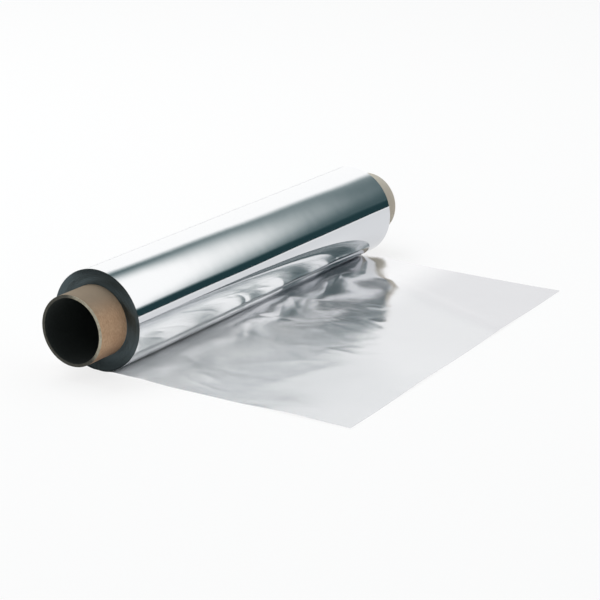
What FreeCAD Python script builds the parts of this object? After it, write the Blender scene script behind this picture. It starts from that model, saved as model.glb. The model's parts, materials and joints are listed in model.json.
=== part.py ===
import FreeCAD, Part

import math
import os

# A roll of kitchen foil on a cardboard core, lying on a table with its end pulled off.
# Sizes are in millimetres. +X is the way the sheet is pulled and +Y runs along the roll to
# its far end. The origin is on the table, under the roll's axis, halfway along the foil.

# The foil on the roll
FOIL_WIDTH = 300.0
ROLL_DIAMETER = 64.5
FLAT_SPOT_WIDTH = 6.0
FOIL_THICKNESS = 0.3

# The lines between the turns on the two end faces
TURN_LINE_PITCH = 1.7
TURN_LINE_WIDTH = 0.25
TURN_LINE_DEPTH = 0.5
TURN_LINE_INSET = 0.6

# The cardboard core
CORE_BORE_DIAMETER = 41.0
CORE_WALL = 2.0
CORE_LENGTH = 349.0
CORE_EDGE_BEVEL = 0.4
CORE_GAP = 0.05

# The sheet that is pulled off the roll, measured from under the roll's axis. Seen from above
# it lies turned a little against the roll, with its far side nearer to it.
SHEET_LENGTH = 170.5
SHEET_ROOT_LENGTH = 9.0
SHEET_TURN = math.radians(2.25)
SHEET_TURN_REACH = 60.0
SHEET_SPANS_ALONG = 13
SHEET_SPANS_ACROSS = 20
SHEET_DEGREE = 2

# How the sheet lies: the rise where it leaves the roll, and the waves of the pull
NIP_RISE = 2.0
NIP_CREST_AT = 27.0
NIP_CREST_HALF_LENGTH = 34.0
NIP_FAR_DROP = 0.6
PULL_WAVE_HEIGHT = 1.2
PULL_WAVE_PITCH = 56.0
PULL_WAVE_FADE_AT = 96.0
PULL_WAVE_SKEW = 0.42
EDGE_WAVE_HEIGHT = 0.7
EDGE_WAVE_PITCH = 118.0
EDGE_WAVE_REACH = 34.0

# Shallow folds: start, end as shares of the sheet's length and width, height, half width
FAR_FOLD = ((0.36, 0.85), (0.92, 0.69), 1.3, 11.0)
NEAR_FOLD = ((0.54, 0.10), (0.70, 0.32), 1.3, 11.0)
EDGE_FOLD = ((0.77, -0.05), (0.75, 0.07), 2.1, 13.0)
FOLDS = (FAR_FOLD, NEAR_FOLD, EDGE_FOLD)

FULL_TURN = 2.0 * math.pi
ROLL_RADIUS = ROLL_DIAMETER / 2.0
HALF_WIDTH = FOIL_WIDTH / 2.0
AXIS_HEIGHT = math.sqrt(ROLL_RADIUS ** 2 - (FLAT_SPOT_WIDTH / 2.0) ** 2)
CORE_BORE_RADIUS = CORE_BORE_DIAMETER / 2.0
CORE_OUTER_RADIUS = CORE_BORE_RADIUS + CORE_WALL
FOIL_BORE_RADIUS = CORE_OUTER_RADIUS + CORE_GAP
ALONG_ROLL = FreeCAD.Vector(0, 1, 0)
RISING_SIDE = -1
FALLING_SIDE = 1


def turn_point(centre_height, radius, angle, side, y):
    """Point of a half turn, at an angle from straight down on one side of the roll."""
    return FreeCAD.Vector(side * radius * math.sin(angle), y, centre_height - radius * math.cos(angle))


def half_turn(centre_height, radius, first, last, side, y):
    """Arc of a half turn between two angles from straight down."""
    ends = [turn_point(centre_height, radius, angle, side, y) for angle in (first, last)]
    middle = turn_point(centre_height, radius, (first + last) / 2.0, side, y)
    return Part.Arc(ends[0], middle, ends[1]).toShape()


def spiral(start_radius, pitch, half_turns, y):
    """Spiral of half circles about two centres, from the foot of the roll inwards."""
    edges = []
    for i in range(half_turns):
        radius = start_radius - i * pitch / 2.0
        if i % 2 == 0:
            edges.append(half_turn(AXIS_HEIGHT, radius, 0.0, math.pi, RISING_SIDE, y))
        else:
            edges.append(half_turn(AXIS_HEIGHT + pitch / 2.0, radius, math.pi, 0.0, FALLING_SIDE, y))
    return edges


def wound_turns():
    """The wound strip and the flat root of the sheet, which leaves the roll at its foot.

    The outermost turn loses one thickness in going round, so it ends on top of the sheet.
    """
    y = -HALF_WIDTH
    falling_radius = ROLL_RADIUS - FOIL_THICKNESS / 2.0
    falling_centre = AXIS_HEIGHT + FOIL_THICKNESS / 2.0
    lift_off = math.acos(AXIS_HEIGHT / ROLL_RADIUS)
    nip = math.acos((falling_centre - FOIL_THICKNESS) / falling_radius)
    rising = half_turn(AXIS_HEIGHT, ROLL_RADIUS, lift_off, math.pi, RISING_SIDE, y)
    falling = half_turn(falling_centre, falling_radius, math.pi, nip, FALLING_SIDE, y)
    root_top = FreeCAD.Vector(SHEET_ROOT_LENGTH, y, FOIL_THICKNESS)
    root_bottom = FreeCAD.Vector(SHEET_ROOT_LENGTH, y, 0)
    outline = Part.Wire([
        rising,
        falling,
        Part.makeLine(falling.Vertexes[1].Point, root_top),
        Part.makeLine(root_top, root_bottom),
        Part.makeLine(root_bottom, rising.Vertexes[0].Point),
    ])
    body = Part.Face(outline).extrude(ALONG_ROLL * FOIL_WIDTH)
    foot = FreeCAD.Vector(0, y, AXIS_HEIGHT)
    return body.cut(Part.makeCylinder(FOIL_BORE_RADIUS, FOIL_WIDTH, foot, ALONG_ROLL))


def turn_lines(y, into_roll):
    """Cutter for the spiral line between the turns on the end face at y."""
    outer = ROLL_RADIUS - FOIL_THICKNESS - TURN_LINE_INSET
    inner = FOIL_BORE_RADIUS + TURN_LINE_INSET + TURN_LINE_WIDTH
    half_turns = int(2.0 * (outer - inner) / TURN_LINE_PITCH)
    outside = spiral(outer, TURN_LINE_PITCH, half_turns, y)
    inside = spiral(outer - TURN_LINE_WIDTH, TURN_LINE_PITCH, half_turns, y)
    start = Part.makeLine(inside[0].Vertexes[0].Point, outside[0].Vertexes[0].Point)
    end = Part.makeLine(outside[-1].Vertexes[1].Point, inside[-1].Vertexes[1].Point)
    outline = Part.Wire([start] + outside + [end] + inside[::-1])
    return Part.Face(outline).extrude(into_roll)


def smooth_step(value):
    """Smooth rise from 0 to 1 as the value goes from 0 to 1."""
    share = min(1.0, max(0.0, value))
    return share * share * (3.0 - 2.0 * share)


def hump(distance, half_width):
    """Smooth bell that is 1 in the middle and close to 0 past two half widths."""
    return math.exp(-((distance / half_width) ** 2))


def fold_lift(x, y, fold):
    """Height of one shallow fold, a soft ridge along the line between its two ends."""
    start, end, height, half_width = fold
    x0, y0 = start[0] * SHEET_LENGTH, (start[1] - 0.5) * FOIL_WIDTH
    x1, y1 = end[0] * SHEET_LENGTH, (end[1] - 0.5) * FOIL_WIDTH
    run_x, run_y = x1 - x0, y1 - y0
    share = ((x - x0) * run_x + (y - y0) * run_y) / (run_x ** 2 + run_y ** 2)
    share = min(1.0, max(0.0, share))
    distance = math.hypot(x - x0 - share * run_x, y - y0 - share * run_y)
    return height * hump(distance, half_width)


def sheet_lift(x, y):
    """Height of the sheet's underside above the table, nowhere below it."""
    across = y / FOIL_WIDTH + 0.5
    nip_height = NIP_RISE * (1.0 - NIP_FAR_DROP * smooth_step(across * 2.0))
    nip = nip_height * hump(x - NIP_CREST_AT, NIP_CREST_HALF_LENGTH / 2.0)
    phase = FULL_TURN * (y - PULL_WAVE_SKEW * x) / PULL_WAVE_PITCH
    fade = 1.0 - smooth_step(x / PULL_WAVE_FADE_AT)
    pull = PULL_WAVE_HEIGHT * fade * (0.5 - 0.5 * math.cos(phase))
    to_edge = hump(SHEET_LENGTH - x, EDGE_WAVE_REACH / 2.0)
    edge = EDGE_WAVE_HEIGHT * to_edge * (0.5 - 0.5 * math.cos(FULL_TURN * y / EDGE_WAVE_PITCH))
    folds = sum(fold_lift(x, y, fold) for fold in FOLDS)
    from_root = smooth_step((x - SHEET_ROOT_LENGTH) / NIP_CREST_AT)
    return from_root * (nip + pull + edge + folds)


def sheet_point(along, across):
    """Control point of the sheet's underside, for shares of its length and width."""
    x = SHEET_ROOT_LENGTH + (SHEET_LENGTH - SHEET_ROOT_LENGTH) * along
    y = FOIL_WIDTH * (across - 0.5)
    turn = math.sin(SHEET_TURN) * smooth_step((x - SHEET_ROOT_LENGTH) / SHEET_TURN_REACH)
    return FreeCAD.Vector(x - turn * y, y + turn * x, sheet_lift(x, y))


def even_knots(spans):
    """Knots and their multiplicities for a surface direction of even spans."""
    knots = [i / spans for i in range(spans + 1)]
    ends = SHEET_DEGREE + 1
    return knots, [ends] + [1] * (spans - 1) + [ends]


def pulled_sheet():
    """The sheet past its root: one soft surface, given the foil's thickness."""
    rows = SHEET_SPANS_ALONG + SHEET_DEGREE
    columns = SHEET_SPANS_ACROSS + SHEET_DEGREE
    net = []
    for i in range(rows):
        net.append([sheet_point(i / (rows - 1), j / (columns - 1)) for j in range(columns)])
    knots_along, mults_along = even_knots(SHEET_SPANS_ALONG)
    knots_across, mults_across = even_knots(SHEET_SPANS_ACROSS)
    surface = Part.BSplineSurface()
    surface.buildFromPolesMultsKnots(
        net, mults_along, mults_across, knots_along, knots_across,
        False, False, SHEET_DEGREE, SHEET_DEGREE)
    return surface.toShape().extrude(FreeCAD.Vector(0, 0, FOIL_THICKNESS))


def foil():
    """All the foil is one strip: the turns on the roll and the sheet pulled off them."""
    depth = ALONG_ROLL * TURN_LINE_DEPTH
    near_lines = turn_lines(-HALF_WIDTH, depth)
    far_lines = turn_lines(HALF_WIDTH, depth * -1)
    turns = wound_turns().cut([near_lines, far_lines])
    return turns.fuse(pulled_sheet()).removeSplitter()


def core():
    """The cardboard tube that the foil is wound on, with lightly bevelled cut ends."""
    start = FreeCAD.Vector(0, -CORE_LENGTH / 2.0, AXIS_HEIGHT)
    outside = Part.makeCylinder(CORE_OUTER_RADIUS, CORE_LENGTH, start, ALONG_ROLL)
    inside = Part.makeCylinder(CORE_BORE_RADIUS, CORE_LENGTH, start, ALONG_ROLL)
    tube = outside.cut(inside)
    rims = [edge for edge in tube.Edges if isinstance(edge.Curve, Part.Circle)]
    return tube.makeChamfer(min(CORE_EDGE_BEVEL, CORE_WALL / 3.0), rims)


def export(name, shape):
    """Write one sub-part to its own file."""
    shape.exportStep("parts/" + name + ".step")


os.makedirs("parts", exist_ok=True)
export("foil", foil())
export("core_tube", core())
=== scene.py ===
import json
import math

import bpy
import numpy as np
from mathutils import Matrix, Vector


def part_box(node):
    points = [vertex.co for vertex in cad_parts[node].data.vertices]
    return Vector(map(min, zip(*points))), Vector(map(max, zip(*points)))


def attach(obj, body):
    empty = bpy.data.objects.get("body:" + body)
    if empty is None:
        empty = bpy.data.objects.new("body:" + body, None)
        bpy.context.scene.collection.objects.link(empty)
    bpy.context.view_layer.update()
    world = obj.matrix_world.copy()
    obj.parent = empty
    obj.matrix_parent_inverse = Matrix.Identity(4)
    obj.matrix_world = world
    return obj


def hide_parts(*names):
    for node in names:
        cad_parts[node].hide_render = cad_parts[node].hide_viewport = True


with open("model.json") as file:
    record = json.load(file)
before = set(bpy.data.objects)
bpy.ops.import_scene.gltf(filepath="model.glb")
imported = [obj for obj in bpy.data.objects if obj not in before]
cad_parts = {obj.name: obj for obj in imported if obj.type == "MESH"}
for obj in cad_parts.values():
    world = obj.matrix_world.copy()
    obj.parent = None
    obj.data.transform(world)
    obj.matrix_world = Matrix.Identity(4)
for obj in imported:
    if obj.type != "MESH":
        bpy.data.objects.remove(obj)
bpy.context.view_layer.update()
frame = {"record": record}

# A roll of kitchen foil on a cardboard core, its end pulled off along the table.
# Lengths are in metres. +X is the way the sheet is pulled, +Y runs to the roll's far end.
MM = 0.001
FULL_TURN = 2.0 * math.pi

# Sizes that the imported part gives
MOUNTS = {mount["name"]: mount for mount in frame["record"]["mounts"]}
AXIS_HEIGHT = MOUNTS["core_bore"]["pos_m"][2]
BORE_RADIUS = MOUNTS["core_bore"]["dims"]["r_mm"] * MM
CORE_LOW, CORE_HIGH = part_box("core_tube")
CORE_RADIUS = AXIS_HEIGHT - CORE_LOW.z
CORE_END = CORE_HIGH.y

# Faces that meet at more than this are shaded apart
SHARP_ANGLE = math.radians(40.0)

# The camera that matches the photograph
CAMERA_PLACE = Vector((725.7, -1079.5, 438.9)) * MM
CAMERA_TURN = math.radians(32.00)
CAMERA_DIP = math.radians(18.45)
CAMERA_ROLL = math.radians(1.11)
CAMERA_LENS_MM = 122.9
SENSOR_WIDTH_MM = 36.0

# The wound roll
FOIL_WIDTH = 300.0 * MM
FAR_FACE = FOIL_WIDTH / 2.0
NEAR_FACE = -FAR_FACE
ROLL_RADIUS = 32.25 * MM
SKIN_COLUMNS = 320
SKIN_ROWS = 110
FACE_ROWS = 72
FOIL_STEP = 0.1 * MM
CORE_GAP = 0.05 * MM

# The outer turn's wobble: waves round the roll, pitch along it (times 2 pi) and start angle
SKIN_WOBBLE = 0.02 * MM
SKIN_WOBBLE_REACH = 30.0 * MM
SKIN_WAVES = ((3.0, 31.0 * MM, 0.0), (5.0, -17.0 * MM, 1.3))
FOOT_CLEARANCE = 8.0 * MM

# The uneven edges of the turns on the two end faces
TURN_PITCH = 0.54 * MM
TURN_GROOVE = 0.10 * MM
TURN_GROOVE_HALF_SHARE = 1.0 / 6.0
TURN_STRAY = 0.05 * MM
FACE_DRIFT = 0.22 * MM
NEAR_FACE_SEED = 11
FAR_FACE_SEED = 23

# The cardboard core
CORE_COLUMNS = 160
CORE_ROWS = 90
CORE_EDGE_ROUND = 0.25 * MM
CORE_PLY_ROWS = 14
CORE_PLIES = 4
CORE_PLY_DEPTH = 0.10 * MM
CORE_PLY_MARGIN = 0.1
CORE_RIM_INSET = 0.1 * MM
CORE_SEAM_PITCH = 112.0 * MM
CORE_SEAM_DEPTH = 0.12 * MM
CORE_SEAM_HALF_SHARE = 0.012

# The pulled sheet, turned a little against the roll: its rise beside the roll and its waves
SHEET_LENGTH = 170.5 * MM
SHEET_COLUMNS = 158
SHEET_ROWS = 254
SHEET_START = 1.0 * MM
SHEET_THICKNESS = 0.08 * MM
SHEET_ROOT = 9.0 * MM
SHEET_TURN = math.radians(2.25)
SHEET_TURN_REACH = 60.0 * MM
NIP_RISE = 2.0 * MM
NIP_RISE_FROM = 4.0 * MM
NIP_RISE_OVER = 9.0 * MM
NIP_FALL_FROM = 22.0 * MM
NIP_FALL_OVER = 42.0 * MM
NIP_NEAR_DROP = 0.5
NIP_NEAR_SHARES = (0.62, 0.35)
NIP_FAR_DROP = 0.6
NIP_FAR_SHARES = (0.8, 1.0)
WAVE_REACH = 27.0 * MM
PULL_WAVE_HEIGHT = 1.2 * MM
PULL_WAVE_PITCH = 56.0 * MM
PULL_WAVE_FADE_AT = 96.0 * MM
PULL_WAVE_SKEW = 0.42
EDGE_WAVE_HEIGHT = 0.7 * MM
EDGE_WAVE_PITCH = 118.0 * MM
EDGE_WAVE_REACH = 17.0 * MM

# Folds of the sheet: start, end as shares of its length and width, height, half width
FAR_FOLD = ((0.36, 0.85), (0.92, 0.69), 1.1 * MM, 9.0 * MM)
NEAR_FOLD = ((0.54, 0.10), (0.70, 0.32), 0.28 * MM, 7.0 * MM)
EDGE_FOLD = ((0.77, -0.15), (0.75, 0.07), 1.1 * MM, 25.0 * MM)
FOLDS = (FAR_FOLD, NEAR_FOLD, EDGE_FOLD)
FOLD_FADE = 0.24

# Creases of the pull, at random places: the pairs are the ends or the middle and the spread
CREASES = 84
CREASE_SEED = 5
CREASE_FIRST = 8.0 * MM
CREASE_REACH = 112.0 * MM
CREASE_REACH_LOSS = 0.42
CREASE_REACH_LOSS_FROM = 10.0 * MM
CREASE_HEADING = (-4.0, 24.0)
CREASE_HALF_LENGTH = (9.0 * MM, 34.0 * MM)
CREASE_HALF_WIDTH = (2.4 * MM, 7.0 * MM)
CREASE_HEIGHT = (0.0, 0.18 * MM)
CREASE_CREST_ROUND = 0.02
CREASE_CREST_TOP = 0.14
CREASE_RISE_FROM = 4.5 * MM
CREASE_RISE_OVER = 12.0 * MM

# The floor and the lamp
FLOOR_HALF = 6.0
FLOOR_BELOW = 0.05 * MM
FLOOR_TONE = (0.95, 0.95, 0.95, 1.0)
FLOOR_GLOW = 0.8
LAMP_PLACE = (-0.75, 0.1, 1.5)
LAMP_SIZE = 0.9
LAMP_POWER = 12.0


def smooth_step(value):
    """Smooth rise from 0 to 1 as the value goes from 0 to 1."""
    share = np.clip(value, 0.0, 1.0)
    return share * share * (3.0 - 2.0 * share)


def hump(distance, half_width):
    """Smooth bell that is 1 in the middle and close to 0 past two half widths."""
    return np.exp(-((distance / half_width) ** 2))


def grid_quads(rows, columns, close_rows=False, close_columns=False):
    """Quads of a grid of vertices that are numbered row by row."""
    last_row = rows if close_rows else rows - 1
    last_column = columns if close_columns else columns - 1
    i, j = np.meshgrid(np.arange(last_row), np.arange(last_column), indexing="ij")
    i_next, j_next = (i + 1) % rows, (j + 1) % columns
    corners = (i * columns + j, i * columns + j_next, i_next * columns + j_next, i_next * columns + j)
    return np.stack(corners, axis=-1).reshape(-1, 4)


def mesh_object(name, points, quads, smooth):
    """A mesh object from arrays of points, of quads and of whether each quad is smooth."""
    mesh = bpy.data.meshes.new(name)
    mesh.vertices.add(len(points))
    mesh.vertices.foreach_set("co", np.asarray(points, np.float32).ravel())
    mesh.loops.add(quads.size)
    mesh.loops.foreach_set("vertex_index", quads.astype(np.int32).ravel())
    mesh.polygons.add(len(quads))
    mesh.polygons.foreach_set("loop_start", np.arange(0, quads.size, 4, dtype=np.int32))
    mesh.polygons.foreach_set("use_smooth", smooth)
    mesh.update(calc_edges=True)
    mesh.set_sharp_from_angle(angle=SHARP_ANGLE)
    made = bpy.data.objects.new(name, mesh)
    bpy.context.scene.collection.objects.link(made)
    return made


def around_axis(radius, angle, y):
    """Points at a radius and an angle from straight down, up the side away from the sheet."""
    x = -radius * np.sin(angle)
    z = AXIS_HEIGHT - radius * np.cos(angle)
    return np.stack([x, np.broadcast_to(y, x.shape), z], axis=-1)


def roll_outline(angle):
    """Radius of the roll at an angle from straight down.

    The outermost turn loses one step of foil in going round, and the foot is flat.
    """
    shift = np.where(angle < math.pi, 0.0, FOIL_STEP / 2.0)
    cosine = np.cos(angle)
    radius = -shift * cosine + np.sqrt((ROLL_RADIUS - shift) ** 2 - (shift * np.sin(angle)) ** 2)
    foot = AXIS_HEIGHT - 2.0 * shift
    flat = np.where(cosine > 0.5, foot / np.maximum(cosine, 0.5), 1.0)
    return np.minimum(radius, flat)


def turn_relief(angle, radius, seed):
    """How far the wound edges lie inside the end plane: each turn a little differently."""
    chance = np.random.default_rng(seed)
    turn = (ROLL_RADIUS - radius) / TURN_PITCH + angle / FULL_TURN
    count = int(ROLL_RADIUS / TURN_PITCH)
    drift = np.cumsum(chance.normal(0.0, 1.0, count))
    drift = (drift - drift.min()) / np.ptp(drift) * FACE_DRIFT
    offsets = drift + chance.uniform(0.0, TURN_STRAY, count)
    whole = np.floor(turn).astype(int)
    off_groove = np.abs(turn - whole - 0.5) / TURN_GROOVE_HALF_SHARE
    return offsets[whole] + TURN_GROOVE * np.clip(1.0 - off_groove, 0.0, 1.0)


def skin_wobble(angle, outline, y):
    """How far the outer turn lies inside the plain outline, nowhere at its foot or its ends."""
    wobble = sum(np.sin(angle * count + y / pitch + start) for count, pitch, start in SKIN_WAVES)
    clear_of_foot = np.clip((AXIS_HEIGHT - outline * np.cos(angle)) / FOOT_CLEARANCE, 0.0, 1.0)
    from_end = smooth_step((FAR_FACE - np.abs(y)) / SKIN_WOBBLE_REACH)
    return SKIN_WOBBLE * (wobble - len(SKIN_WAVES)) * clear_of_foot * from_end


def wound_roll():
    """The turns of foil on the core, with the wound edges at both ends.

    Returns the mesh object and whether each of its faces is on the outer turn.
    """
    angle = np.linspace(0.0, FULL_TURN, SKIN_COLUMNS, endpoint=False)
    outline = roll_outline(angle)
    inner = CORE_RADIUS + CORE_GAP
    radii = [inner + (outline - inner) * share for share in np.linspace(0.0, 1.0, FACE_ROWS)]
    near = [(radius, NEAR_FACE + turn_relief(angle, radius, NEAR_FACE_SEED)) for radius in radii]
    far = [(radius, FAR_FACE - turn_relief(angle, radius, FAR_FACE_SEED)) for radius in radii]
    near_edge, far_edge = near[-1][1], far[-1][1]
    skin = []
    for share in np.linspace(0.0, 1.0, SKIN_ROWS)[1:-1]:
        y = near_edge + (far_edge - near_edge) * share
        skin.append((outline + skin_wobble(angle, outline, y), y))
    rows = near + skin + far[::-1]
    points = np.concatenate([around_axis(radius, angle, y) for radius, y in rows])
    quads = grid_quads(len(rows), SKIN_COLUMNS, close_rows=True, close_columns=True)
    ring = np.arange(len(quads)) // SKIN_COLUMNS
    on_skin = (ring >= FACE_ROWS - 1) & (ring < FACE_ROWS + SKIN_ROWS - 2)
    return mesh_object("foil_roll", points, quads, on_skin), on_skin


def core_rim(shares, side):
    """Rows of a cut end of the core, at shares of its wall from the outside inwards."""
    rim_wall = CORE_RADIUS - BORE_RADIUS - 2.0 * CORE_RIM_INSET
    rows = []
    for share in shares:
        ply = CORE_PLY_DEPTH * abs(math.sin(share * CORE_PLIES * math.pi))
        if not CORE_PLY_MARGIN < share < 1.0 - CORE_PLY_MARGIN:
            ply = 0.0
        rows.append((CORE_RADIUS - CORE_RIM_INSET - rim_wall * share, side * (CORE_END - ply), "rim"))
    return rows


def core_profile():
    """Outline of the core's wall, cut along its length: (radius, y, part of the wall)."""
    along = np.linspace(-CORE_END + CORE_EDGE_ROUND, CORE_END - CORE_EDGE_ROUND, CORE_ROWS)
    across = np.linspace(0.0, 1.0, CORE_PLY_ROWS)
    outside = [(CORE_RADIUS, y, "outside") for y in along]
    inside = [(BORE_RADIUS, y, "inside") for y in along[::-1]]
    return outside + core_rim(across, 1.0) + inside + core_rim(across[::-1], -1.0)


def cardboard_core():
    """The cardboard tube, with the spiral seam of its outer ply and the plies at its rims.

    Returns the mesh object and the number of each face's part: outside, rim or inside.
    """
    profile = core_profile()
    angle = np.linspace(0.0, FULL_TURN, CORE_COLUMNS, endpoint=False)
    points = []
    for radius, y, part in profile:
        ring = np.full_like(angle, radius)
        if part == "outside":
            turn = np.mod(angle / FULL_TURN + y / CORE_SEAM_PITCH, 1.0)
            off_seam = np.abs(turn - 0.5) / CORE_SEAM_HALF_SHARE
            ring = ring - CORE_SEAM_DEPTH * np.clip(1.0 - off_seam, 0.0, 1.0)
        points.append(around_axis(ring, angle, y))
    quads = grid_quads(len(profile), CORE_COLUMNS, close_rows=True, close_columns=True)
    core = mesh_object("core_board", np.concatenate(points), quads, np.ones(len(quads), bool))
    parts = ["outside", "rim", "inside"]
    by_ring = []
    for i, (_, _, part) in enumerate(profile):
        following = profile[(i + 1) % len(profile)][2]
        by_ring.append(parts.index(part if part == following else "rim"))
    return core, np.repeat(np.array(by_ring, np.int32), CORE_COLUMNS)


def fold_lift(x, y, fold):
    """Height of one shallow fold, a soft ridge along a line that fades out at its two ends."""
    start, end, height, half_width = fold
    x0, y0 = start[0] * SHEET_LENGTH, (start[1] - 0.5) * FOIL_WIDTH
    x1, y1 = end[0] * SHEET_LENGTH, (end[1] - 0.5) * FOIL_WIDTH
    run_x, run_y = x1 - x0, y1 - y0
    share = ((x - x0) * run_x + (y - y0) * run_y) / (run_x ** 2 + run_y ** 2)
    distance = np.hypot(x - x0 - share * run_x, y - y0 - share * run_y)
    ends = smooth_step((share + FOLD_FADE) / (2.0 * FOLD_FADE))
    ends = ends * smooth_step((1.0 + FOLD_FADE - share) / (2.0 * FOLD_FADE))
    return height * hump(distance, half_width) * ends


def crease_field(x, y):
    """Small creases of the pull: ridges and furrows on the part of the sheet near the roll."""
    chance = np.random.default_rng(CREASE_SEED)
    field = np.zeros_like(x)
    for _ in range(CREASES):
        middle_y = chance.uniform(NEAR_FACE, FAR_FACE)
        reach = CREASE_REACH - CREASE_REACH_LOSS * max(0.0, middle_y - CREASE_REACH_LOSS_FROM)
        middle_x = chance.uniform(CREASE_FIRST, reach)
        heading = math.radians(chance.normal(*CREASE_HEADING))
        half_length = chance.uniform(*CREASE_HALF_LENGTH)
        half_width = chance.uniform(*CREASE_HALF_WIDTH)
        height = chance.normal(*CREASE_HEIGHT)
        along = (x - middle_x) * math.cos(heading) + (y - middle_y) * math.sin(heading)
        across = -(x - middle_x) * math.sin(heading) + (y - middle_y) * math.cos(heading)
        ends = np.clip(1.0 - (along / half_length) ** 2, 0.0, 1.0) ** 2
        off_crest = np.sqrt((across / half_width) ** 2 + CREASE_CREST_ROUND)
        field = field + height * ends * np.exp(CREASE_CREST_TOP - off_crest)
    return field * smooth_step((x - CREASE_RISE_FROM) / CREASE_RISE_OVER)


def nip_rise(x, across):
    """Rise of the sheet beside the roll, lower at its near half and its far edge."""
    near_first, near_last = NIP_NEAR_SHARES
    far_first, far_last = NIP_FAR_SHARES
    near_drop = NIP_NEAR_DROP * smooth_step((near_first - across) / (near_first - near_last))
    far_drop = NIP_FAR_DROP * smooth_step((across - far_first) / (far_last - far_first))
    rise = NIP_RISE * (1.0 - near_drop - far_drop) * smooth_step((x - NIP_RISE_FROM) / NIP_RISE_OVER)
    return rise * (1.0 - smooth_step((x - NIP_FALL_FROM) / NIP_FALL_OVER))


def sheet_lift(x, y):
    """Height of the sheet's underside above the table, nowhere below it."""
    nip = nip_rise(x, y / FOIL_WIDTH + 0.5)
    phase = FULL_TURN * (y - PULL_WAVE_SKEW * x) / PULL_WAVE_PITCH
    fade = 1.0 - smooth_step(x / PULL_WAVE_FADE_AT)
    pull = PULL_WAVE_HEIGHT * fade * (0.5 - 0.5 * np.cos(phase))
    to_edge = hump(SHEET_LENGTH - x, EDGE_WAVE_REACH)
    edge = EDGE_WAVE_HEIGHT * to_edge * (0.5 - 0.5 * np.cos(FULL_TURN * y / EDGE_WAVE_PITCH))
    folds = sum(fold_lift(x, y, fold) for fold in FOLDS)
    from_root = smooth_step((x - SHEET_ROOT) / WAVE_REACH)
    return np.maximum(0.0, nip + from_root * (pull + edge + folds) + crease_field(x, y))


def pulled_sheet():
    """The sheet that is pulled off the roll, with a thin edge all round."""
    along = np.linspace(SHEET_START, SHEET_LENGTH, SHEET_COLUMNS)
    across = np.linspace(NEAR_FACE, FAR_FACE, SHEET_ROWS)
    x, y = np.meshgrid(along, across, indexing="ij")
    turn = math.sin(SHEET_TURN) * smooth_step((x - SHEET_ROOT) / SHEET_TURN_REACH)
    under = np.stack([x - turn * y, y + turn * x, sheet_lift(x, y)], axis=-1).reshape(-1, 3)
    upper = under + np.array([0.0, 0.0, SHEET_THICKNESS])
    count = len(under)
    number = np.arange(count).reshape(SHEET_COLUMNS, SHEET_ROWS)
    rim = np.concatenate([number[0, :-1], number[:-1, -1], number[-1, :0:-1], number[:0:-1, 0]])
    rim_next = np.roll(rim, -1)
    sides = np.stack([rim, rim + count, rim_next + count, rim_next], axis=-1)
    faces = grid_quads(SHEET_COLUMNS, SHEET_ROWS)
    quads = np.concatenate([faces, faces[:, ::-1] + count, sides])
    smooth = np.arange(len(quads)) < 2 * len(faces)
    return mesh_object("foil_sheet", np.concatenate([under, upper]), quads, smooth)


class Nodes:
    """A short way to build one node tree."""

    def __init__(self, tree):
        self.tree = tree
        tree.nodes.clear()

    def add(self, kind, **settings):
        """A new node with the settings given."""
        node = self.tree.nodes.new(kind)
        for name, value in settings.items():
            setattr(node, name, value)
        return node

    def put(self, socket, value):
        """Give a socket a value, or link it to another node's output."""
        if isinstance(value, bpy.types.NodeSocket):
            self.tree.links.new(value, socket)
        else:
            socket.default_value = value

    def math(self, operation, *values):
        """Result of one sum on the values given."""
        node = self.add("ShaderNodeMath", operation=operation)
        for socket, value in zip(node.inputs, values):
            self.put(socket, value)
        return node.outputs[0]

    def ease(self, value, low, high, start=0.0, end=1.0):
        """Smooth change from start to end as the value goes from low to high."""
        node = self.add("ShaderNodeMapRange", interpolation_type="SMOOTHSTEP")
        given = {"Value": value, "From Min": low, "From Max": high, "To Min": start, "To Max": end}
        for name, setting in given.items():
            self.put(node.inputs[name], setting)
        return node.outputs["Result"]

    def mix(self, share, first, second):
        """Mix of two colours."""
        node = self.add("ShaderNodeMix", data_type="RGBA")
        colours = [socket for socket in node.inputs if socket.type == "RGBA"]
        self.put(node.inputs["Factor"], share)
        self.put(colours[0], first)
        self.put(colours[1], second)
        return [socket for socket in node.outputs if socket.type == "RGBA"][0]

    def split(self, vector):
        """The X, Y and Z of a vector."""
        node = self.add("ShaderNodeSeparateXYZ")
        self.put(node.inputs[0], vector)
        return node.outputs["X"], node.outputs["Y"], node.outputs["Z"]

    def place(self, scale=(1.0, 1.0, 1.0)):
        """The place on the object, scaled differently along each axis."""
        node = self.add("ShaderNodeVectorMath", operation="MULTIPLY")
        self.put(node.inputs[0], self.add("ShaderNodeTexCoord").outputs["Object"])
        self.put(node.inputs[1], scale)
        return node.outputs["Vector"]

    def noise(self, place, scale, detail=2.0, roughness=0.5):
        """Soft noise at a place, around one half."""
        node = self.add("ShaderNodeTexNoise")
        self.put(node.inputs["Vector"], place)
        self.put(node.inputs["Scale"], scale)
        self.put(node.inputs["Detail"], detail)
        self.put(node.inputs["Roughness"], roughness)
        return node.outputs["Fac"]

    def bump(self, height, distance, strength):
        """Normal of a surface with fine relief."""
        node = self.add("ShaderNodeBump")
        self.put(node.inputs["Height"], height)
        self.put(node.inputs["Distance"], distance)
        self.put(node.inputs["Strength"], strength)
        return node.outputs["Normal"]


def colour(red, green, blue):
    """Linear colour from the eight-bit values that a screen shows."""
    def linear(value):
        share = value / 255.0
        return share / 12.92 if share <= 0.04045 else ((share + 0.055) / 1.055) ** 2.4
    return (linear(red), linear(green), linear(blue), 1.0)


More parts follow.
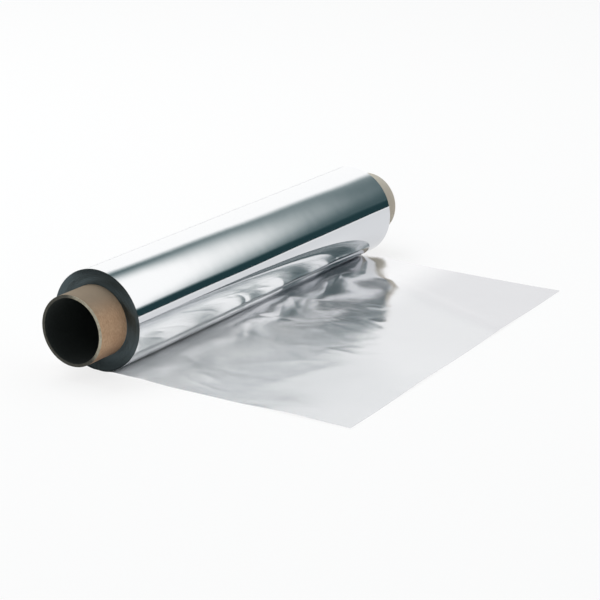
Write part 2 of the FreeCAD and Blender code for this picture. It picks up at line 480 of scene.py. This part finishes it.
def surface(name):
    """A new material with a Principled shader, and its node helper."""
    material = bpy.data.materials.new(name)
    material.use_nodes = True
    nodes = Nodes(material.node_tree)
    shader = nodes.add("ShaderNodeBsdfPrincipled")
    output = nodes.add("ShaderNodeOutputMaterial")
    nodes.put(output.inputs["Surface"], shader.outputs["BSDF"])
    return material, nodes, shader


def bright_tone_painted_shade(nodes):
    """Tone of the bright side, with painted shade: a little greyer low on the roll, but for its near
    half.
    """
    _, y, z = nodes.split(nodes.place())
    low = nodes.ease(z, 42.0 * MM, 38.5 * MM)
    near = nodes.ease(y, 120.0 * MM, -40.0 * MM)
    lit = nodes.math("MULTIPLY", near, nodes.ease(z, 37.0 * MM, 29.0 * MM))
    share = nodes.math("MULTIPLY", low, nodes.math("SUBTRACT", 1.0, lit))
    return nodes.mix(share, colour(250, 251, 252), colour(212, 214, 218))


def bright_foil():
    """The bright side of the foil: a mirror with faint rolling lines around the roll."""
    material, nodes, shader = surface("bright_foil")
    lines = nodes.noise(nodes.place((60.0, 2600.0, 60.0)), 1.0, 3.0)
    waves = nodes.noise(nodes.place(), 55.0, 1.0)
    height = nodes.math("ADD", nodes.math("MULTIPLY", lines, 0.12), waves)
    # The base colour holds painted shade, a little greyer low on the roll.
    nodes.put(shader.inputs["Base Color"], bright_tone_painted_shade(nodes))
    nodes.put(shader.inputs["Metallic"], 1.0)
    nodes.put(shader.inputs["Roughness"], nodes.ease(lines, 0.2, 0.8, 0.04, 0.08))
    nodes.put(shader.inputs["Normal"], nodes.bump(height, 0.03 * MM, 0.6))
    return material


def satin_painted_light_tone(nodes):
    """Tone of the satin side, all painted light and shade: dark with a painted shadow where it leaves
    the roll, bright with painted light beside it, then greyer with painted shade.
    """
    x, y, _ = nodes.split(nodes.place())
    # Painted shade: greyer towards the far end, and greyer still past the fold.
    outer = nodes.mix(nodes.ease(y, -90.0 * MM, 40.0 * MM), colour(236, 237, 239), colour(228, 229, 231))
    past_fold = nodes.math("MULTIPLY_ADD", nodes.math("SUBTRACT", x, 57.0 * MM), 0.49, y)
    past_fold = nodes.ease(past_fold, 98.0 * MM, 114.0 * MM, 0.0, 0.8)
    outer = nodes.mix(past_fold, outer, colour(221, 221, 224))
    # Painted light: bright beside the roll.
    tone = nodes.mix(nodes.ease(x, 50.0 * MM, 98.0 * MM), colour(250, 250, 251), outer)
    # Painted shadow where the sheet leaves the roll.
    return nodes.mix(nodes.ease(x, 10.0 * MM, 4.0 * MM), tone, colour(62, 66, 68))


def satin_foil():
    """The duller side of the foil, which is up on the pulled sheet."""
    material, nodes, shader = surface("satin_foil")
    lines = nodes.noise(nodes.place((40.0, 2200.0, 40.0)), 1.0, 3.0)
    crumple = nodes.noise(nodes.place(), 50.0, 1.5)
    height = nodes.math("MULTIPLY_ADD", lines, 0.1, crumple)
    _, y, _ = nodes.split(nodes.place())
    dull = nodes.ease(y, -70.0 * MM, 10.0 * MM, 0.22, 0.07)
    # The base colour holds painted light and shade.
    nodes.put(shader.inputs["Base Color"], satin_painted_light_tone(nodes))
    nodes.put(shader.inputs["Metallic"], nodes.ease(y, -60.0 * MM, 40.0 * MM, 0.77, 0.9))
    nodes.put(shader.inputs["Roughness"], nodes.math("MULTIPLY_ADD", lines, 0.06, dull))
    nodes.put(shader.inputs["Normal"], nodes.bump(height, 0.45 * MM, 0.6))
    return material


def foil_edges():
    """The edges of the turns at the ends of the roll, in painted shade: dark where light is lost between
    them, darker still at the bottom and the top.
    """
    material, nodes, shader = surface("foil_edges")
    x, _, z = nodes.split(nodes.place())
    up = nodes.math("SUBTRACT", z, AXIS_HEIGHT)
    squares = nodes.math("ADD", nodes.math("MULTIPLY", x, x), nodes.math("MULTIPLY", up, up))
    radius = nodes.math("SQRT", squares)
    rings = nodes.add("ShaderNodeTexNoise", noise_dimensions="1D")
    nodes.put(rings.inputs["W"], nodes.math("MULTIPLY", radius, 7000.0))
    nodes.put(rings.inputs["Scale"], 1.0)
    nodes.put(rings.inputs["Detail"], 3.0)
    share = nodes.ease(rings.outputs["Fac"], 0.3, 0.7)
    tone = nodes.mix(share, colour(56, 66, 69), colour(100, 112, 116))
    # Painted shade: darker towards the bottom, near the table.
    tone = nodes.mix(nodes.ease(z, 20.0 * MM, 4.0 * MM, 0.0, 0.75), tone, colour(24, 30, 30))
    # Painted shade: darker along the top.
    tone = nodes.mix(nodes.ease(z, 54.0 * MM, 64.0 * MM, 0.0, 0.5), tone, colour(30, 34, 34))
    nodes.put(shader.inputs["Base Color"], tone)
    nodes.put(shader.inputs["Metallic"], 1.0)
    nodes.put(shader.inputs["Roughness"], 0.36)
    nodes.put(shader.inputs["Anisotropic"], 0.8)
    radial = nodes.add("ShaderNodeTangent", direction_type="RADIAL", axis="Y")
    nodes.put(shader.inputs["Tangent"], radial.outputs["Tangent"])
    nodes.put(shader.inputs["Normal"], nodes.bump(rings.outputs["Fac"], 0.08 * MM, 0.7))
    return material


def kraft_board(name, light, dark, blotch, shade=None):
    """Wound cardboard with faint fibres, whose tone the function shade may change further with painted
    light and shade.
    """
    material, nodes, shader = surface(name)
    fibres = nodes.noise(nodes.place((500.0, 1400.0, 500.0)), 1.0, 4.0, 0.65)
    clouds = nodes.noise(nodes.place(), 60.0, 2.0)
    tone = nodes.mix(nodes.ease(fibres, 0.3, 0.7), dark, light)
    tone = nodes.mix(nodes.ease(clouds, 0.35, 0.7, 0.0, 0.35), tone, blotch)
    if shade is not None:
        tone = shade(nodes, tone)
    nodes.put(shader.inputs["Base Color"], tone)
    nodes.put(shader.inputs["Roughness"], 0.86)
    nodes.put(shader.inputs["Normal"], nodes.bump(fibres, 0.05 * MM, 0.6))
    return material


def outside_painted_light_and_shade(nodes, tone):
    """Painted light and shade on the core's outside: painted shade makes it greyer along its top and
    browner below, and painted light makes it paler at the far end.
    """
    _, y, z = nodes.split(nodes.place())
    # Painted shade: greyer along the top.
    tone = nodes.mix(nodes.ease(z, 40.0 * MM, 54.0 * MM, 0.0, 0.85), tone, colour(130, 120, 104))
    # Painted shade: darker and browner below.
    tone = nodes.mix(nodes.ease(z, 28.0 * MM, 12.0 * MM, 0.0, 0.8), tone, colour(106, 81, 61))
    # Painted light: paler at the far end.
    return nodes.mix(nodes.ease(y, 0.0, FAR_FACE, 0.0, 0.8), tone, colour(208, 203, 190))


def rim_painted_shade(nodes, tone):
    """Painted shade: the core's cut ends are darker on the side away from the sheet."""
    x, _, z = nodes.split(nodes.place())
    across = nodes.math("MULTIPLY_ADD", z, 0.5, x)
    # Painted shade on the side away from the sheet.
    return nodes.mix(nodes.ease(across, 34.0 * MM, 22.0 * MM, 0.0, 0.9), tone, colour(44, 46, 42))


def kraft_outside():
    """The core's outside."""
    light, dark, blotch = colour(212, 176, 142), colour(186, 148, 116), colour(166, 122, 90)
    return kraft_board("kraft_outside", light, dark, blotch, outside_painted_light_and_shade)


def kraft_rim():
    """The core's cut ends."""
    light, dark, blotch = colour(196, 190, 170), colour(160, 152, 134), colour(140, 126, 106)
    return kraft_board("kraft_rim", light, dark, blotch, rim_painted_shade)


def dark_core_inside():
    """The core's inside, dark."""
    return kraft_board("dark_core_inside", colour(40, 46, 44), colour(28, 34, 32), colour(24, 28, 28))


def give(piece, materials, by_face=None):
    """Give a piece its materials, and each face its own where they differ."""
    piece.data.materials.clear()
    for material in materials:
        piece.data.materials.append(material)
    if by_face is not None:
        piece.data.polygons.foreach_set("material_index", by_face.astype(np.int32))


# The studio that the metal mirrors: a dim room with a dark strip along the floor, a wide soft
# box in front, one behind and a dimmer strip overhead. Angles are in degrees round the roll's
# direction, up from the sheet's side, but for the ceiling gap, whose angles are from straight
# up. Reach is the sine of the angle towards an end of the roll. Levels are the shares of white
# that a screen shows.
STRIP_LEVEL = 0.205
STRIP_TOP = 12.5
STRIP_SOFTNESS = 8.0
ROOM_LEVEL = 0.31
ROOM_RISE = 3.88
ROOM_RISE_FROM = 60.0
ROOM_RISE_TO = 115.0
FRONT_BOX_ANGLE = 54.1
FRONT_BOX_LEAN = 39.3
FRONT_BOX_HALF_ANGLE = 73.7
FRONT_BOX_REACH = 0.583
FRONT_BOX_FADE_REACH = 0.231
FRONT_BOX_SOFTNESS = 0.146
FRONT_BOX_BLUR = 0.424
FRONT_BOX_LEAST_SOFTNESS = 0.02
BACK_BOX_ANGLE = 113.0
BACK_BOX_LEAN = 271.5
BACK_BOX_SOFTNESS = 18.9
MIDDLE_REACH = 0.75
CEILING_GAP_FROM = 3.0
CEILING_GAP_TO = 10.0
CEILING_GAP_REACH_FROM = 0.35
CEILING_GAP_REACH_TO = 0.5
CEILING_GAP_LEVEL = 0.55
STUDIO_TINT = (-0.070, 0.030, 0.050)
SCREEN_CURVE = 2.2
SIDE_BLEND = 0.3


def studio_side(nodes, x, reach, z):
    """Level of the light that comes from one side of the studio."""
    angle = nodes.math("MULTIPLY", nodes.math("ARCTAN2", z, x), 360.0 / FULL_TURN)
    far = nodes.math("SUBTRACT", reach, MIDDLE_REACH)
    rise = nodes.ease(angle, ROOM_RISE_FROM, ROOM_RISE_TO, 0.0, ROOM_RISE)
    room = nodes.math("MULTIPLY_ADD", rise, nodes.math("MAXIMUM", far, 0.0), ROOM_LEVEL)
    middle = nodes.math("MULTIPLY_ADD", far, FRONT_BOX_LEAN, FRONT_BOX_ANGLE)
    off_angle = nodes.math("DIVIDE", nodes.math("SUBTRACT", angle, middle), FRONT_BOX_HALF_ANGLE)
    beyond = nodes.math("MAXIMUM", nodes.math("SUBTRACT", reach, FRONT_BOX_REACH), 0.0)
    beyond = nodes.math("DIVIDE", beyond, FRONT_BOX_FADE_REACH)
    squares = nodes.math("MULTIPLY_ADD", off_angle, off_angle, nodes.math("POWER", beyond, 2.0))
    spread = nodes.math("SQRT", squares)
    softness = nodes.math("MULTIPLY_ADD", far, FRONT_BOX_BLUR, FRONT_BOX_SOFTNESS)
    softness = nodes.math("MAXIMUM", softness, FRONT_BOX_LEAST_SOFTNESS)
    inside = nodes.math("DIVIDE", nodes.math("SUBTRACT", 1.0, spread), softness)
    front = nodes.ease(inside, -1.0, 1.0)
    past_edge = nodes.math("MULTIPLY_ADD", far, BACK_BOX_LEAN, angle)
    back = nodes.ease(past_edge, BACK_BOX_ANGLE, BACK_BOX_ANGLE + BACK_BOX_SOFTNESS)
    lit = nodes.math("MAXIMUM", front, back)
    level = nodes.math("MULTIPLY_ADD", lit, nodes.math("SUBTRACT", 1.0, room), room)
    above_strip = nodes.ease(angle, STRIP_TOP, STRIP_TOP + STRIP_SOFTNESS)
    gain = nodes.math("SUBTRACT", level, STRIP_LEVEL)
    return nodes.math("MULTIPLY_ADD", above_strip, gain, STRIP_LEVEL)


def ceiling_gap(nodes, x, reach, z):
    """Share of the light that is left in the dimmer strip between the boxes overhead."""
    off_top = nodes.math("ARCTAN2", nodes.math("ABSOLUTE", x), z)
    off_top = nodes.math("MULTIPLY", off_top, 360.0 / FULL_TURN)
    kept = nodes.ease(off_top, CEILING_GAP_FROM, CEILING_GAP_TO, CEILING_GAP_LEVEL, 1.0)
    past_end = nodes.ease(reach, CEILING_GAP_REACH_FROM, CEILING_GAP_REACH_TO)
    return nodes.math("MAXIMUM", kept, past_end)


def studio_colour(nodes, level):
    """Linear colour of a level, which leans to blue-green where it is dark."""
    combine = nodes.add("ShaderNodeCombineColor")
    for socket, tint in zip(combine.inputs, STUDIO_TINT):
        shown = nodes.math("MULTIPLY_ADD", level, 1.0 - tint, tint)
        nodes.put(socket, nodes.math("POWER", shown, SCREEN_CURVE))
    return combine.outputs[0]


def studio_world():
    """A studio that is the same seen from the front and, turned half round, from the back."""
    world = bpy.data.worlds.new("studio")
    bpy.context.scene.world = world
    world.use_nodes = True
    nodes = Nodes(world.node_tree)
    x, y, z = nodes.split(nodes.add("ShaderNodeTexCoord").outputs["Generated"])
    reach = nodes.math("ABSOLUTE", y)
    from_far = studio_side(nodes, x, reach, z)
    from_near = studio_side(nodes, nodes.math("MULTIPLY", x, -1.0), reach, z)
    share = nodes.ease(y, -SIDE_BLEND, SIDE_BLEND)
    level = nodes.math("MULTIPLY_ADD", share, nodes.math("SUBTRACT", from_far, from_near), from_near)
    level = nodes.math("MULTIPLY", level, ceiling_gap(nodes, x, reach, z))
    background = nodes.add("ShaderNodeBackground")
    nodes.put(background.inputs["Color"], studio_colour(nodes, level))
    nodes.put(background.inputs["Strength"], 1.0)
    output = nodes.add("ShaderNodeOutputWorld")
    nodes.put(output.inputs["Surface"], background.outputs["Background"])


def light_paths():
    """Enough bounces for light to leave the narrow gap between the roll and its sheet."""
    cycles = bpy.context.scene.cycles
    cycles.max_bounces = 24
    cycles.glossy_bounces = 20
    cycles.diffuse_bounces = 6


def pale_floor():
    """A wide pale floor that keeps the object's soft shadow."""
    sides = ((-1.0, -1.0), (1.0, -1.0), (1.0, 1.0), (-1.0, 1.0))
    corners = np.array([(x * FLOOR_HALF, y * FLOOR_HALF, -FLOOR_BELOW) for x, y in sides])
    floor = mesh_object("studio_floor", corners, np.array([[0, 1, 2, 3]]), np.zeros(1, bool))
    material = bpy.data.materials.new("floor_white")
    material.use_nodes = True
    nodes = Nodes(material.node_tree)
    matt = nodes.add("ShaderNodeBsdfDiffuse")
    nodes.put(matt.inputs["Color"], FLOOR_TONE)
    glow = nodes.add("ShaderNodeEmission")
    path = nodes.add("ShaderNodeLightPath")
    seen = nodes.math("MAXIMUM", path.outputs["Is Camera Ray"], path.outputs["Is Glossy Ray"])
    seen = nodes.math("MAXIMUM", seen, path.outputs["Is Transmission Ray"])
    blend = nodes.add("ShaderNodeMixShader")
    nodes.put(blend.inputs["Fac"], nodes.math("MULTIPLY", seen, FLOOR_GLOW))
    nodes.put(blend.inputs[1], matt.outputs["BSDF"])
    nodes.put(blend.inputs[2], glow.outputs["Emission"])
    output = nodes.add("ShaderNodeOutputMaterial")
    nodes.put(output.inputs["Surface"], blend.outputs["Shader"])
    give(floor, [material])


def soft_lamp(name, place, size, power):
    """A square soft box that points at the object."""
    data = bpy.data.lights.new(name, "AREA")
    data.shape = "SQUARE"
    data.size = size
    data.energy = power
    lamp = bpy.data.objects.new(name, data)
    lamp.location = place
    lamp.rotation_euler = (-Vector(place)).to_track_quat("-Z", "Y").to_euler()
    bpy.context.scene.collection.objects.link(lamp)


def photo_camera():
    """The camera at the photograph's place and angle."""
    data = bpy.data.cameras.new("photo_camera")
    data.sensor_width = SENSOR_WIDTH_MM
    data.lens = CAMERA_LENS_MM
    data.clip_start = 0.05
    data.clip_end = 50.0
    camera = bpy.data.objects.new("photo_camera", data)
    turn = Matrix.Rotation(CAMERA_TURN, 4, "Z")
    dip = Matrix.Rotation(math.pi / 2.0 - CAMERA_DIP, 4, "X")
    roll = Matrix.Rotation(CAMERA_ROLL, 4, "Z")
    camera.matrix_world = Matrix.Translation(CAMERA_PLACE) @ turn @ dip @ roll
    bpy.context.scene.collection.objects.link(camera)
    bpy.context.scene.camera = camera


def foil_pieces():
    """The roll and its pulled sheet, which stand for the foil."""
    roll, on_skin = wound_roll()
    give(roll, [foil_edges(), bright_foil()], on_skin)
    sheet = pulled_sheet()
    give(sheet, [satin_foil()])
    for piece in (roll, sheet):
        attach(piece, "root")
        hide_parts("foil")


def core_piece():
    """The cardboard core."""
    core, by_face = cardboard_core()
    give(core, [kraft_outside(), kraft_rim(), dark_core_inside()], by_face)
    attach(core, "root")
    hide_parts("core_tube")


photo_camera()
light_paths()
studio_world()
pale_floor()
soft_lamp("overhead_box", LAMP_PLACE, LAMP_SIZE, LAMP_POWER)
foil_pieces()
core_piece()
bpy.context.scene.view_settings.view_transform = "Standard"
